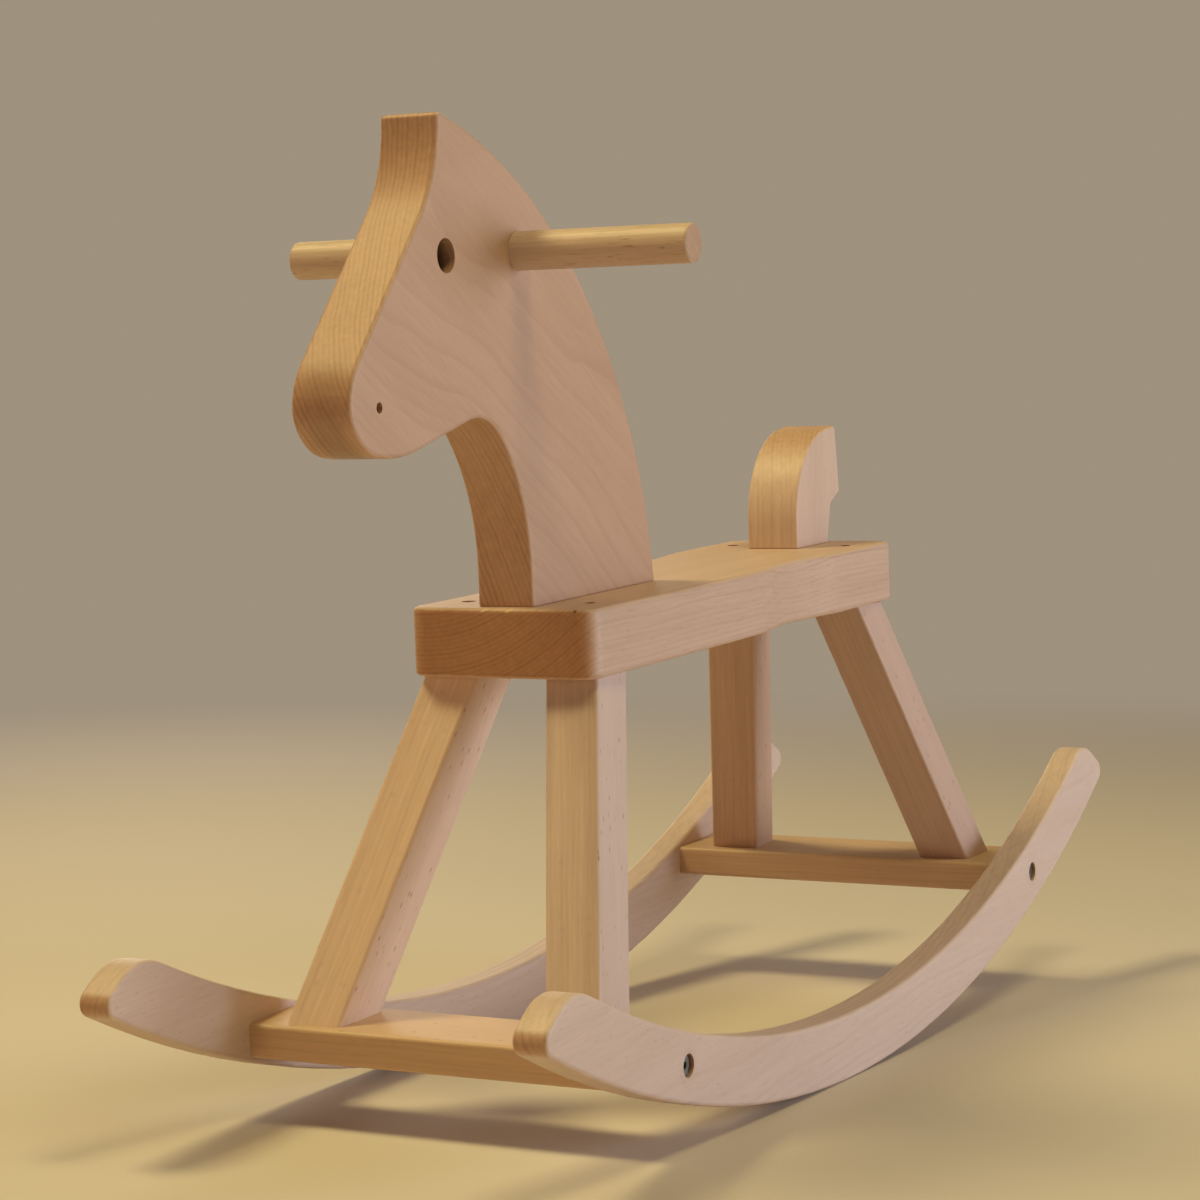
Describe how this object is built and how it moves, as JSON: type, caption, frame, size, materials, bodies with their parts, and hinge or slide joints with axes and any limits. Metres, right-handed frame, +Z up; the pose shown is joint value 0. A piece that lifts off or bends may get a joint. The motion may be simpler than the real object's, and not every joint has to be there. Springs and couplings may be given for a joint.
{
  "type": "rocking horse",
  "caption": "Wooden rocking horse: plank head with a dowel handle, slab seat, upright tail, splayed legs on cross rails, and curved rockers.",
  "frame": {"origin": "on the floor under the middle of the horse's bounding box, standing at rest on its rockers", "axes": "+Z up from the floor; -Y towards the horse's nose, +Y towards its tail; +X towards the horse's left"},
  "size_m": [0.28, 0.8852, 0.558],
  "materials": {
    "beech_board": "sanded and oiled, satin",
    "beech_rod": "sanded and oiled, satin",
    "joint_dowel": "plain, glued",
    "zinc_steel": "dull zinc plate"
  },
  "bodies": {
    "root": {"seat_board": "beech_board", "head_board": "beech_board", "tail_board": "beech_board", "left_front_leg": "beech_board", "right_front_leg": "beech_board", "left_rear_leg": "beech_board", "right_rear_leg": "beech_board", "front_cross_rail": "beech_board", "rear_cross_rail": "beech_board", "left_rocker": "beech_board", "right_rocker": "beech_board", "handle_dowel": "beech_rod", "rail_dowels": "joint_dowel", "leg_top_dowels": "joint_dowel", "leg_foot_dowels": "joint_dowel", "neck_dowels": "joint_dowel", "tail_dowels": "joint_dowel", "rocker_bolts": "zinc_steel", "barrel_nuts": "zinc_steel", "leg_top_screws": "zinc_steel", "leg_foot_screws": "zinc_steel", "neck_screws": "zinc_steel", "tail_screws": "zinc_steel"}
  },
  "joints": []
}
